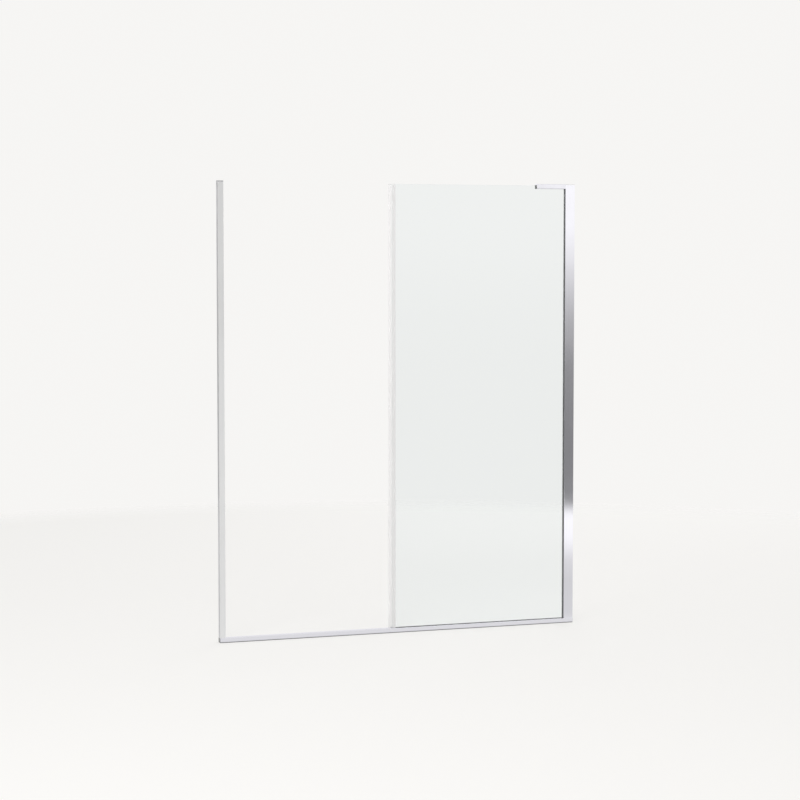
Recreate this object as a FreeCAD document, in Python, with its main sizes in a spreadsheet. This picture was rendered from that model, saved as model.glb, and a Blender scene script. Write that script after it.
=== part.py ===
"""Fixed shower panel for an alcove, as an assembly of separate pieces, in millimetres.

+X runs along the opening towards the wall that holds the glass, +Y into the shower and +Z up.
The origin is on the curb, at mid opening and in the middle plane of the glass.
"""
import FreeCAD, Part
import os
import Sketcher

# Driving sizes: name, millimetres, what it measures
SIZES = [
    ("opening_width", 1524, "wall to wall"),
    ("frame_height", 1838, "curb to the top of the channel, bar and jamb"),
    ("fit_gap", 0.2, "clearance of pieces that are pushed together"),
    ("thread_gap", 0.05, "clearance of a screw in its threaded hole"),
    # Glass
    ("glass_thickness", 8, "toughened glass"),
    ("panel_reach", 796, "wall to the free edge of the glass"),
    ("glass_arris", 0.8, "ground edge of the glass"),
    ("adjust_travel", 7.5, "slide of the glass each way from its middle place"),
    # Glazing gaskets
    ("glazing_gap", 3.5, "glass face to metal, filled by a gasket"),
    ("gasket_stem", 8.5, "depth of a gasket in its groove"),
    ("gasket_head", 1.1, "cover of a front gasket over the glass"),
    ("rear_gasket_head", 0.5, "cover of a rear gasket over the glass"),
    ("gasket_lap", 2.6, "cover of a gasket over the metal"),
    ("gasket_lap_wall", 0.8, "thickness of that cover at its edge"),
    ("gasket_nose", 1.5, "thickness of the stem at its end"),
    ("gasket_hook", 1.2, "catch of the stem behind the lip or in the snap groove"),
    # Threshold rail
    ("tape_thickness", 2.5, "sealing tape under the rail"),
    ("tape_setback", 0.75, "tape's edge behind the rail's face"),
    ("rail_floor", 2, "rail's base plate"),
    ("rail_wall", 1.6, "rail's other walls"),
    ("rail_chamber", 4.3, "width of each hollow chamber"),
    ("rail_end_gap", 1, "rail's end to the wall"),
    ("rail_edge_radius", 1.5, "rounding of the rail's top edges"),
    ("block_height", 3, "setting block under the glass"),
    ("block_length", 60, "setting block along the rail"),
    ("block_inset", 120, "setting block from the end of the glass"),
    ("stem_room", 3, "glass foot to the end of a gasket stem"),
    ("snap_drop", 5, "snap groove below the rail's top"),
    ("snap_height", 1.4, "snap groove's height"),
    ("snap_depth", 0.6, "snap groove's depth"),
    ("weep_length", 12, "weep slot along the rail"),
    ("weep_height", 3, "weep slot's height"),
    ("weep_inset", 60, "first and last weep slot from the end of the glass"),
    ("infill_crown", 1, "infill strip above the rail's top"),
    ("infill_slope", 2, "width of the infill strip's sloping edge"),
    ("infill_wall", 1.4, "infill strip's wall"),
    ("infill_leg", 9, "infill strip's legs below the rail's top"),
    ("travel_gap", 1, "what lies along the rail to the panel at the end of its slide"),
    # Wall channel
    ("channel_web", 2.5, "channel's back on the wall"),
    ("channel_wall", 2, "channel's front and rear legs"),
    ("channel_lip", 2, "thickness of the lips at the mouth"),
    ("channel_lip_height", 2.5, "lips inwards from the legs"),
    ("channel_edge_radius", 1, "rounding of the legs at the mouth"),
    ("screw_head_room", 3.2, "room for the heads of the wall screws"),
    ("wall_hole", 5, "hole for a wall screw"),
    ("channel_hole_margin", 158, "first and last wall hole from the channel's ends"),
    ("cap_thickness", 3, "channel's top cap"),
    ("cap_tab_depth", 8, "tabs of the cap inside the channel"),
    # Carrier on the wall-side edge of the glass
    ("carrier_wall", 1.8, "carrier's walls"),
    ("carrier_liner_wall", 0.8, "rubber between carrier and glass"),
    ("carrier_grip", 8, "carrier over the face of the glass"),
    ("carrier_end_gap", 6, "carrier short of the rail and the bar"),
    ("stem_clearance", 1, "carrier to the gasket stems at the end of its slide"),
    # Lock screws in the channel's rear leg
    ("lock_margin", 233, "first and last lock screw from the channel's ends"),
    ("lock_slot", 4.6, "width of the slot for a lock screw"),
    ("lock_block_height", 14, "threaded block on the carrier"),
    ("washer_width", 10, "washer over the slot"),
    ("washer_thickness", 1, "washer over the slot"),
    ("washer_lap", 0.5, "washer past the end of the slot"),
    ("screw_thread", 4, "diameter of lock and fixing screws"),
    ("screw_head", 7.6, "diameter of their heads"),
    ("screw_head_height", 2, "height of their heads"),
    ("screw_head_radius", 0.7, "rounding of their heads"),
    ("screw_hole_gap", 0.2, "clearance around a screw in a plain hole"),
    ("screw_tip_gap", 0.4, "screw's tip short of what lies behind"),
    ("socket_width", 2.5, "hexagon socket across its flats"),
    ("socket_depth", 1.2, "hexagon socket's depth"),
    # Bar over the top edge of the glass
    ("bar_length", 129.5, "bar from the channel's mouth, end plate included"),
    ("bar_wall", 5.8, "bar's walls beside the glass"),
    ("bar_top_wall", 4.3, "bar's wall above the glass"),
    ("bar_grip", 14, "bar over the face of the glass"),
    ("bar_edge_radius", 2, "rounding of the bar's long edges"),
    ("end_plate", 1.2, "plate on the bar's free end, under its top wall"),
    ("liner_wall", 1.2, "liner between bar and glass"),
    ("glass_top_gap", 0.5, "top of the glass to the liner"),
    ("prong_length", 18, "bar's prongs inside the channel"),
    ("prong_root", 1, "prongs' roots inside the bar"),
    ("fixing_margin", 4, "fixing screws from the prongs' ends"),
    ("grub_screw", 5, "diameter of the grub screws"),
    ("grub_margin", 32, "grub screws from the bar's ends"),
    ("grub_recess", 0.6, "grub screw below the bar's rear face"),
    # Jamb on the entry side
    ("jamb_face", 24, "jamb from its wall"),
    ("jamb_depth", 24, "jamb from front to rear"),
    ("jamb_wall", 1.6, "walls of the jamb's cover and of its base's legs"),
    ("jamb_wall_gap", 0.5, "cover's edge to the wall"),
    ("jamb_edge_radius", 1, "rounding of the cover's long edges"),
    ("base_web", 2, "base's back on the wall"),
    ("snap_ridge", 8, "snap ridge from the wall"),
    ("snap_ridge_width", 2, "snap ridge"),
    ("snap_ridge_height", 0.7, "snap ridge"),
    ("snap_bead_width", 3, "bead on the base's legs"),
    ("jamb_hole_margin", 151, "first and last wall hole from the base's ends"),
    ("jamb_cap_height", 7, "jamb's top cap"),
    ("jamb_cap_plug", 8, "plug of that cap inside the cover"),
    ("base_top_gap", 2, "base short of the plug"),
    # Seal on the free edge of the glass
    ("seal_grip", 12.5, "seal's legs over the face of the glass"),
    ("seal_wall", 1.3, "seal's legs"),
    ("seal_base", 1.5, "seal over the edge of the glass"),
    ("seal_fin", 14.5, "fin past the seal's base"),
    ("seal_fin_root", 1.8, "fin's thickness at the base"),
    ("seal_fin_tip", 0.8, "fin's thickness at its tip"),
    ("seal_fin_lean", 3, "fin's tip behind the middle plane"),
    ("seal_foot_gap", 0.2, "seal above the infill strip and the gasket that it slides over"),
]

# Counts of what stands in rows
WALL_HOLES = 4
LOCK_SCREWS = 4
WEEP_SLOTS = 3
PAIR_COUNT = 2

# Distances from the middle plane of the glass
GLASS_FACE = "(dim.glass_thickness / 2)"
GROOVE_SIDE = f"({GLASS_FACE} + dim.glazing_gap)"
RAIL_SIDE = f"({GROOVE_SIDE} + dim.rail_chamber + 2 * dim.rail_wall)"
CHANNEL_INSIDE = f"({GROOVE_SIDE} + dim.channel_lip_height)"
CHANNEL_SIDE = f"({CHANNEL_INSIDE} + dim.channel_wall)"
LINER_SIDE = f"({GLASS_FACE} + dim.liner_wall)"
BAR_SIDE = f"({LINER_SIDE} + dim.bar_wall)"
CARRIER_INSIDE = f"({GLASS_FACE} + dim.carrier_liner_wall)"
CARRIER_SIDE = f"({CARRIER_INSIDE} + dim.carrier_wall)"
COVER_SIDE = "(dim.jamb_depth / 2)"
COVER_INSIDE = f"({COVER_SIDE} - dim.jamb_wall)"
BASE_SIDE = f"({COVER_INSIDE} - dim.snap_ridge_height - dim.fit_gap)"
SEAL_SIDE = f"({GLASS_FACE} + dim.seal_wall)"

# Distances from the wall that holds the glass
CARRIER_BACK = "(dim.channel_web + dim.screw_head_room + dim.adjust_travel)"
GLASS_EDGE = f"({CARRIER_BACK} + dim.carrier_wall + dim.carrier_liner_wall)"
CARRIER_FRONT = f"({GLASS_EDGE} + dim.carrier_grip)"
LOCK_LINE = f"(({CARRIER_BACK} + {CARRIER_FRONT}) / 2)"
CHANNEL_FACE = f"({CARRIER_FRONT} + dim.adjust_travel + dim.stem_clearance + dim.gasket_stem)"
LIP_BACK = "(dim.channel_lip + dim.fit_gap)"
FIXING_LINE = f"({CHANNEL_FACE} - ({LIP_BACK} + dim.prong_length) / 2)"
GLASS_WIDTH = f"(dim.panel_reach - {GLASS_EDGE})"

# Places along the opening
WALL = "(dim.opening_width / 2)"
MOUTH = f"({WALL} - {CHANNEL_FACE})"
FREE_EDGE = f"({WALL} - dim.panel_reach)"
RAIL_LENGTH = "(dim.opening_width - 2 * dim.rail_end_gap)"
GASKET_START = f"({FREE_EDGE} + dim.seal_grip)"

# Heights above the curb
GROOVE_FLOOR = "(dim.tape_thickness + dim.rail_floor)"
GLASS_FOOT = f"({GROOVE_FLOOR} + dim.block_height)"
RAIL_TOP = f"({GLASS_FOOT} + dim.stem_room + dim.gasket_stem)"
BAR_HEIGHT = "(dim.bar_top_wall + dim.liner_wall + dim.glass_top_gap + dim.bar_grip)"
BAR_FOOT = f"(dim.frame_height - {BAR_HEIGHT})"
GLASS_TOP = f"({BAR_FOOT} + dim.bar_grip)"
PRONG_HEIGHT = f"({BAR_HEIGHT} - dim.cap_thickness - dim.fit_gap)"
FIXING_PITCH = f"({PRONG_HEIGHT} - 2 * dim.fixing_margin)"
CHANNEL_LENGTH = f"(dim.frame_height - dim.cap_thickness - {RAIL_TOP})"
COVER_LENGTH = f"(dim.frame_height - dim.jamb_cap_height - {RAIL_TOP})"
BASE_LENGTH = f"({COVER_LENGTH} - dim.jamb_cap_plug - dim.base_top_gap)"
SEAL_FOOT = f"({RAIL_TOP} + max(dim.infill_crown; dim.gasket_head) + dim.seal_foot_gap)"
CARRIER_LENGTH = f"({BAR_FOOT} - {RAIL_TOP} - 2 * dim.carrier_end_gap)"
SNAP_TOP = f"({RAIL_TOP} - dim.snap_drop)"
SNAP_FOOT = f"({SNAP_TOP} - dim.snap_height)"
LOCK_FIRST = f"({RAIL_TOP} + dim.lock_margin)"
GRUB_DROP = f"({BAR_HEIGHT} - dim.bar_grip / 2)"

# Holes for screws
PLAIN_HOLE = "(dim.screw_thread + 2 * dim.screw_hole_gap)"
THREADED_HOLE = "(dim.screw_thread + 2 * dim.thread_gap)"

# Rounded corners of the jamb's cover and cap
COVER_EDGES = [("dim.jamb_face", COVER_SIDE), ("dim.jamb_face", f"-{COVER_SIDE}")]

# Spacing of what stands in rows
CHANNEL_HOLE_PITCH = f"(({CHANNEL_LENGTH} - 2 * dim.channel_hole_margin) / {WALL_HOLES - 1})"
JAMB_HOLE_PITCH = f"(({BASE_LENGTH} - 2 * dim.jamb_hole_margin) / {WALL_HOLES - 1})"
LOCK_PITCH = f"(({CHANNEL_LENGTH} - 2 * dim.lock_margin) / {LOCK_SCREWS - 1})"
LOCK_SLOT_LENGTH = "(2 * dim.adjust_travel + dim.lock_slot)"
WEEP_PITCH = f"(({GLASS_WIDTH} - 2 * dim.weep_inset) / {WEEP_SLOTS - 1})"
BLOCK_PITCH = f"({GLASS_WIDTH} - 2 * dim.block_inset - dim.block_length)"
GRUB_PITCH = "(dim.bar_length - 2 * dim.grub_margin)"

doc = FreeCAD.newDocument("fixed_shower_panel")
dim = doc.addObject("Spreadsheet::Sheet", "dim")
for row, (name, size, meaning) in enumerate(SIZES, start=1):
    dim.set(f"A{row}", name)
    dim.set(f"B{row}", str(size))
    dim.setAlias(f"B{row}", name)
    dim.set(f"C{row}", meaning)
doc.recompute()


def value(size):
    """The number that a size's expression has now."""
    return float(dim.evalExpression(size))


def minus(size):
    """A size on the other side of its axis."""
    return f"-({size})"


def plan_section(rear_half):
    """Corners (x, y) of a section seen from above, mirrored from the rear side to the front."""
    return rear_half + [(along, minus(across)) for along, across in reversed(rear_half)]


def end_section(rear_half):
    """Corners (y, z) of a section seen from an end, mirrored from the rear side to the front."""
    return rear_half + [(minus(across), height) for across, height in reversed(rear_half)]


def new_body(label, x="0", y="0", z="0"):
    """An empty body with its own place in the part's frame."""
    body = doc.addObject("PartDesign::Body", label)
    body.Label = label
    place(body, x, y, z)
    return body


def place(piece, x, y, z):
    """Bind a piece's place to sizes."""
    for axis, size in zip("xyz", (x, y, z)):
        piece.setExpression(f"Placement.Base.{axis}", size)


def sketch_on(body, plane, name, offset=None):
    """A sketch on one of the body's own planes, or at an offset along that plane's normal."""
    sketch = body.newObject("Sketcher::SketchObject", name)
    support = next(part for part in body.Origin.OriginFeatures if part.Role == plane)
    sketch.AttachmentSupport = [(support, "")]
    sketch.MapMode = "FlatFace"
    if offset:
        sketch.setExpression("AttachmentOffset.Base.z", offset)
    return sketch


def pin(sketch, geometry, point, x, y):
    """Hold a point of the sketch at two sizes from its axes."""
    for kind, size in (("DistanceX", x), ("DistanceY", y)):
        index = sketch.addConstraint(Sketcher.Constraint(kind, -1, 1, geometry, point, value(size)))
        sketch.setExpression(f"Constraints[{index}]", size)


def outline(sketch, corners):
    """A closed outline of straight lines through its corners."""
    first = sketch.GeometryCount
    points = [FreeCAD.Vector(value(x), value(y), 0) for x, y in corners]
    for start, end in zip(points, points[1:] + points[:1]):
        sketch.addGeometry(Part.LineSegment(start, end))
    for index, (x, y) in enumerate(corners):
        following = first + (index + 1) % len(corners)
        sketch.addConstraint(Sketcher.Constraint("Coincident", first + index, 2, following, 1))
        pin(sketch, first + index, 1, x, y)


def rectangle(sketch, left, bottom, right, top):
    """A rectangle between two opposite corners."""
    outline(sketch, [(left, bottom), (right, bottom), (right, top), (left, top)])


def circle(sketch, x, y, diameter):
    """A circle about a point."""
    centre = FreeCAD.Vector(value(x), value(y), 0)
    index = sketch.addGeometry(Part.Circle(centre, FreeCAD.Vector(0, 0, 1), value(diameter) / 2))
    pin(sketch, index, 3, x, y)
    limit = sketch.addConstraint(Sketcher.Constraint("Diameter", index, value(diameter)))
    sketch.setExpression(f"Constraints[{limit}]", diameter)


def slot(sketch, x, y, length, width):
    """A round-ended slot along the sketch's first axis, about its middle."""
    reach = f"(({length} - {width}) / 2)"
    radius = value(width) / 2
    ends = [f"{x} + {reach}", f"{x} - {reach}"]
    edges = [f"{y} + {width} / 2", f"{y} - {width} / 2"]
    right, left = [FreeCAD.Vector(value(end), value(y), 0) for end in ends]
    rise = FreeCAD.Vector(0, radius, 0)
    side = FreeCAD.Vector(radius, 0, 0)
    top = sketch.addGeometry(Part.LineSegment(right + rise, left + rise))
    bottom = sketch.addGeometry(Part.LineSegment(left - rise, right - rise))
    left_arc = sketch.addGeometry(Part.Arc(left + rise, left - side, left - rise))
    right_arc = sketch.addGeometry(Part.Arc(right - rise, right + side, right + rise))
    pin(sketch, top, 1, ends[0], edges[0])
    pin(sketch, top, 2, ends[1], edges[0])
    pin(sketch, bottom, 1, ends[1], edges[1])
    pin(sketch, bottom, 2, ends[0], edges[1])
    chain = [top, left_arc, bottom, right_arc]
    for edge, following in zip(chain, chain[1:] + chain[:1]):
        sketch.addConstraint(Sketcher.Constraint("Coincident", edge, 2, following, 1))
    for arc, end in ((left_arc, ends[1]), (right_arc, ends[0])):
        index = sketch.addConstraint(Sketcher.Constraint("DistanceX", -1, 1, arc, 3, value(end)))
        sketch.setExpression(f"Constraints[{index}]", end)


def pad(body, sketch, length, backwards=False, both_ways=False):
    """Material from the sketch along its plane's normal."""
    feature = body.newObject("PartDesign::Pad", f"{sketch.Name}_pad")
    feature.Profile = sketch
    feature.setExpression("Length", length)
    feature.Reversed = backwards
    feature.SideType = "Symmetric" if both_ways else "One side"
    doc.recompute()
    return feature


def pocket(body, sketch, depth=None, along_normal=False):
    """A cut from the sketch against its plane's normal, or along it, to a depth or right through."""
    feature = body.newObject("PartDesign::Pocket", f"{sketch.Name}_pocket")
    feature.Profile = sketch
    feature.Reversed = along_normal
    if depth:
        feature.setExpression("Length", depth)
    else:
        feature.Type = "ThroughAll"
    doc.recompute()
    return feature


def row_of(body, feature, axis, pitch, count):
    """A feature repeated along an axis of its body."""
    pattern = body.newObject("PartDesign::LinearPattern", f"{feature.Name}_row")
    pattern.Originals = [feature]
    direction = next(part for part in body.Origin.OriginFeatures if part.Role == axis)
    pattern.Direction = (direction, [""])
    pattern.Mode = "Spacing"
    pattern.setExpression("Offset", pitch)
    pattern.Occurrences = count
    body.Tip = pattern
    doc.recompute()
    return pattern


def group_of(body, axis, pitch, count):
    """The whole body so far, repeated along an axis as separate solids."""
    pattern = body.newObject("PartDesign::LinearPattern", f"{body.Name}_group")
    pattern.TransformMode = "Whole shape"
    direction = next(part for part in body.Origin.OriginFeatures if part.Role == axis)
    pattern.Direction = (direction, [""])
    pattern.Mode = "Spacing"
    pattern.setExpression("Offset", pitch)
    pattern.Occurrences = count
    body.Tip = pattern
    doc.recompute()
    return pattern


def long_edges(feature, direction, corners):
    """Names of the edges that run along a direction through given corners of the section across it."""
    along = {"X": 0, "Y": 1, "Z": 2}[direction]
    across = [axis for axis in range(3) if axis != along]
    wanted = [(value(first), value(second)) for first, second in corners]
    names = []
    for number, edge in enumerate(feature.Shape.Edges, start=1):
        ends = [vertex.Point for vertex in edge.Vertexes]
        if len(ends) < 2:
            continue
        for first, second in wanted:
            near = [
                abs(end[across[0]] - first) + abs(end[across[1]] - second) < 1e-4 for end in ends
            ]
            if all(near):
                names.append(f"Edge{number}")
    return names


def rounded(body, feature, direction, corners, radius):
    """Round the long edges at given corners of a section."""
    fillet = body.newObject("PartDesign::Fillet", f"{feature.Name}_rounded")
    fillet.Base = (feature, long_edges(feature, direction, corners))
    fillet.setExpression("Radius", radius)
    doc.recompute()
    return fillet


def threshold_rail():
    """Hollow rail with the glazing groove, weep slots to the rear and rounded top edges."""
    body = new_body("threshold_rail")
    section = sketch_on(body, "YZ_Plane", "rail_section")
    snap_side = f"({GROOVE_SIDE} + dim.snap_depth)"
    half = [
        (RAIL_SIDE, "dim.tape_thickness"),
        (RAIL_SIDE, RAIL_TOP),
        (GROOVE_SIDE, RAIL_TOP),
        (GROOVE_SIDE, SNAP_TOP),
        (snap_side, SNAP_TOP),
        (snap_side, SNAP_FOOT),
        (GROOVE_SIDE, SNAP_FOOT),
        (GROOVE_SIDE, GROOVE_FLOOR),
    ]
    outline(section, end_section(half))
    inner = f"({GROOVE_SIDE} + dim.rail_wall)"
    outer = f"({RAIL_SIDE} - dim.rail_wall)"
    ceiling = f"({RAIL_TOP} - dim.rail_wall)"
    rectangle(section, inner, GROOVE_FLOOR, outer, ceiling)
    rectangle(section, minus(outer), GROOVE_FLOOR, minus(inner), ceiling)
    extrusion = pad(body, section, RAIL_LENGTH, both_ways=True)
    top_edges = [(RAIL_SIDE, RAIL_TOP), (minus(RAIL_SIDE), RAIL_TOP)]
    rounded(body, extrusion, "X", top_edges, "dim.rail_edge_radius")
    weep = sketch_on(body, "XZ_Plane", "weep_slot")
    weep_line = f"({GROOVE_FLOOR} + dim.fit_gap + dim.weep_height / 2)"
    slot(weep, f"({FREE_EDGE} + dim.weep_inset)", weep_line, "dim.weep_length", "dim.weep_height")
    row_of(body, pocket(body, weep), "X_Axis", WEEP_PITCH, WEEP_SLOTS)
    return body


def rail_sealing_tape():
    """Tape that beds the rail on the curb, set back from the rail's faces."""
    side = f"({RAIL_SIDE} - dim.tape_setback)"
    tape = doc.addObject("Part::Box", "rail_sealing_tape")
    tape.Label = "rail_sealing_tape"
    tape.setExpression("Length", RAIL_LENGTH)
    tape.setExpression("Width", f"2 * {side}")
    tape.setExpression("Height", "dim.tape_thickness")
    place(tape, f"-{RAIL_LENGTH} / 2", minus(side), "0")
    return tape


def rail_end_gaskets():
    """Foam pads that fill the gaps between the rail's ends and the walls."""
    body = new_body("rail_end_gaskets", minus(WALL))
    section = sketch_on(body, "YZ_Plane", "end_gasket_section")
    side = f"({RAIL_SIDE} - dim.rail_edge_radius)"
    rectangle(section, minus(side), "dim.tape_thickness", side, RAIL_TOP)
    pad(body, section, "dim.rail_end_gap")
    group_of(body, "X_Axis", "dim.opening_width - dim.rail_end_gap", PAIR_COUNT)
    return body


def rail_infill_strip():
    """Crowned strip that snaps into the rail's groove, forked where the glass slides in it."""
    start = f"(dim.jamb_face + dim.fit_gap - {WALL})"
    end = f"({GASKET_START} - dim.fit_gap)"
    body = new_body("rail_infill_strip", start)
    section = sketch_on(body, "YZ_Plane", "infill_section")
    side = f"({GROOVE_SIDE} - dim.fit_gap)"
    inner = f"({side} - dim.infill_wall)"
    barb_top = f"({SNAP_TOP} - dim.fit_gap)"
    barb_side = f"({GROOVE_SIDE} + dim.snap_depth - dim.fit_gap)"
    barb_foot = f"({SNAP_FOOT} + dim.fit_gap)"
    leg_foot = f"({RAIL_TOP} - dim.infill_leg)"
    crown = f"({RAIL_TOP} + dim.infill_crown)"
    half = [
        (f"({side} - dim.infill_slope)", crown),
        (side, RAIL_TOP),
        (side, barb_top),
        (barb_side, barb_top),
        (side, barb_foot),
        (side, leg_foot),
        (inner, leg_foot),
        (inner, f"({crown} - dim.infill_wall)"),
    ]
    outline(section, end_section(half))
    pad(body, section, f"{end} - {start}")
    fork = sketch_on(body, "XY_Plane", "infill_fork", crown)
    fork_start = f"({FREE_EDGE} - dim.adjust_travel - dim.travel_gap - {start})"
    fork_end = f"({end} - {start} + dim.fit_gap)"
    fork_side = f"({GLASS_FACE} + dim.fit_gap)"
    rectangle(fork, fork_start, minus(fork_side), fork_end, fork_side)
    pocket(body, fork)
    return body


def setting_blocks():
    """Blocks in the rail's groove that the glass stands on."""
    body = new_body("setting_blocks", f"({FREE_EDGE} + dim.block_inset)", "0", GROOVE_FLOOR)
    section = sketch_on(body, "XY_Plane", "block_plan")
    side = f"({GROOVE_SIDE} - dim.fit_gap)"
    rectangle(section, "0", minus(side), "dim.block_length", side)
    pad(body, section, "dim.block_height")
    group_of(body, "X_Axis", BLOCK_PITCH, PAIR_COUNT)
    return body


def gasket_corners(head, hook_depth, hook):
    """A glazing gasket's section: out of its groove first, then away from the glass's middle plane."""
    return [
        (head, GLASS_FACE),
        ("-dim.gasket_stem", GLASS_FACE),
        ("-dim.gasket_stem", f"({GLASS_FACE} + dim.gasket_nose)"),
        (minus(hook_depth), f"({GROOVE_SIDE} + {hook})"),
        (minus(hook_depth), GROOVE_SIDE),
        ("0", GROOVE_SIDE),
        ("0", f"({GROOVE_SIDE} + dim.gasket_lap)"),
        ("dim.gasket_lap_wall", f"({GROOVE_SIDE} + dim.gasket_lap)"),
    ]


def rail_gasket(label, side, head):
    """Gasket along the foot of the glass, hooked in the rail's snap groove."""
    end = f"({MOUTH} - max({head}; dim.gasket_lap_wall))"
    body = new_body(label, GASKET_START, "0", RAIL_TOP)
    section = sketch_on(body, "YZ_Plane", f"{label}_section")
    snap_hook = "(dim.snap_depth - dim.fit_gap)"
    corners = gasket_corners(head, "(dim.snap_drop + dim.fit_gap)", snap_hook)
    outline(section, [(side(across), out) for out, across in corners])
    pad(body, section, f"{end} - {GASKET_START}")
    return body


def channel_gasket(label, side, head):
    """Gasket up the wall side of the glass, hooked behind the channel's lip."""
    body = new_body(label, MOUTH, "0", RAIL_TOP)
    section = sketch_on(body, "XY_Plane", f"{label}_section")
    corners = gasket_corners(head, LIP_BACK, "dim.gasket_hook")
    outline(section, [(minus(out), side(across)) for out, across in corners])
    pad(body, section, f"{BAR_FOOT} - {RAIL_TOP}")
    return body


def wall_channel():
    """Lipped channel on the wall, with wall holes, lock slots and holes for the bar's screws."""
    body = new_body("wall_channel", WALL, "0", RAIL_TOP)
    section = sketch_on(body, "XY_Plane", "channel_section")
    half = [
        ("0", CHANNEL_SIDE),
        (minus(CHANNEL_FACE), CHANNEL_SIDE),
        (minus(CHANNEL_FACE), GROOVE_SIDE),
        (f"(dim.channel_lip - {CHANNEL_FACE})", GROOVE_SIDE),
        (f"(dim.channel_lip - {CHANNEL_FACE})", CHANNEL_INSIDE),
        ("-dim.channel_web", CHANNEL_INSIDE),
    ]
    outline(section, plan_section(half))
    extrusion = pad(body, section, CHANNEL_LENGTH)
    mouth_edges = [
        (minus(CHANNEL_FACE), CHANNEL_SIDE),
        (minus(CHANNEL_FACE), minus(CHANNEL_SIDE)),
    ]
    rounded(body, extrusion, "Z", mouth_edges, "dim.channel_edge_radius")
    hole = sketch_on(body, "YZ_Plane", "channel_wall_hole")
    circle(hole, "0", "dim.channel_hole_margin", "dim.wall_hole")
    row_of(body, pocket(body, hole, "dim.channel_web"), "Z_Axis", CHANNEL_HOLE_PITCH, WALL_HOLES)
    lock = sketch_on(body, "XZ_Plane", "lock_slot_outline")
    slot(lock, minus(LOCK_LINE), "dim.lock_margin", LOCK_SLOT_LENGTH, "dim.lock_slot")
    row_of(body, pocket(body, lock), "Z_Axis", LOCK_PITCH, LOCK_SCREWS)
    fixing = sketch_on(body, "XZ_Plane", "channel_fixing_hole")
    first_fixing = f"({BAR_FOOT} - {RAIL_TOP} + dim.fixing_margin)"
    circle(fixing, minus(FIXING_LINE), first_fixing, PLAIN_HOLE)
    row_of(body, pocket(body, fixing), "Z_Axis", FIXING_PITCH, PAIR_COUNT)
    return body


def wall_channel_cap():
    """Cap on the channel's top end, with two tabs beside the glass."""
    body = new_body("wall_channel_cap", WALL, "0", "dim.frame_height - dim.cap_thickness")
    plan = sketch_on(body, "XY_Plane", "cap_plan")
    rectangle(plan, minus(CHANNEL_FACE), minus(CHANNEL_SIDE), "0", CHANNEL_SIDE)
    plate = pad(body, plan, "dim.cap_thickness")
    mouth_edges = [
        (minus(CHANNEL_FACE), CHANNEL_SIDE),
        (minus(CHANNEL_FACE), minus(CHANNEL_SIDE)),
    ]
    rounded(body, plate, "Z", mouth_edges, "dim.channel_edge_radius")
    tabs = sketch_on(body, "XY_Plane", "cap_tabs")
    near = "-(dim.channel_web + dim.fit_gap)"
    far = f"(dim.prong_length + 2 * dim.fit_gap - {CHANNEL_FACE})"
    outer = f"({CHANNEL_INSIDE} - dim.fit_gap)"
    rectangle(tabs, far, LINER_SIDE, near, outer)
    rectangle(tabs, far, minus(outer), near, minus(LINER_SIDE))
    pad(body, tabs, "dim.cap_tab_depth", backwards=True)
    return body


def bar_edges(height):
    """Corners of the bar's section at a height, whose edges are rounded."""
    return [(BAR_SIDE, height), (minus(BAR_SIDE), height)]


def top_bar():
    """Square bar over the glass, with two prongs that hook behind the channel's lips."""
    body = new_body("top_bar", MOUTH, "0", "dim.frame_height")
    section = sketch_on(body, "YZ_Plane", "bar_section")
    half = [
        (BAR_SIDE, "0"),
        (BAR_SIDE, minus(BAR_HEIGHT)),
        (LINER_SIDE, minus(BAR_HEIGHT)),
        (LINER_SIDE, "-dim.bar_top_wall"),
    ]
    outline(section, end_section(half))
    extrusion = pad(body, section, "dim.bar_length", backwards=True)
    edges = bar_edges("0") + bar_edges(minus(BAR_HEIGHT))
    rounded(body, extrusion, "X", edges, "dim.bar_edge_radius")
    plate_room = sketch_on(body, "YZ_Plane", "end_plate_room", "-dim.bar_length")
    past_side = f"({BAR_SIDE} + dim.fit_gap)"
    past_foot = f"({BAR_HEIGHT} + dim.fit_gap)"
    rectangle(plate_room, minus(past_side), minus(past_foot), past_side, "-dim.bar_top_wall")
    pocket(body, plate_room, "dim.end_plate", along_normal=True)
    prongs = sketch_on(body, "XY_Plane", "prong_plan", minus(BAR_HEIGHT))
    neck = f"({GROOVE_SIDE} - dim.fit_gap)"
    head = f"({CHANNEL_INSIDE} - dim.fit_gap)"
    rear_prong = [
        ("-dim.prong_root", LINER_SIDE),
        ("dim.prong_length", LINER_SIDE),
        ("dim.prong_length", head),
        (LIP_BACK, head),
        (LIP_BACK, neck),
        ("-dim.prong_root", neck),
    ]
    outline(prongs, rear_prong)
    outline(prongs, [(along, minus(across)) for along, across in rear_prong])
    pad(body, prongs, PRONG_HEIGHT)
    grub = sketch_on(body, "XZ_Plane", "bar_grub_hole")
    first_grub = "(dim.grub_margin - dim.bar_length)"
    circle(grub, first_grub, minus(GRUB_DROP), "dim.grub_screw + 2 * dim.thread_gap")
    row_of(body, pocket(body, grub), "X_Axis", GRUB_PITCH, PAIR_COUNT)
    fixing = sketch_on(body, "XZ_Plane", "bar_fixing_hole")
    first_fixing = f"(dim.fixing_margin - {BAR_HEIGHT})"
    circle(fixing, f"({CHANNEL_FACE} - {FIXING_LINE})", first_fixing, THREADED_HOLE)
    row_of(body, pocket(body, fixing), "Z_Axis", FIXING_PITCH, PAIR_COUNT)
    return body


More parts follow.
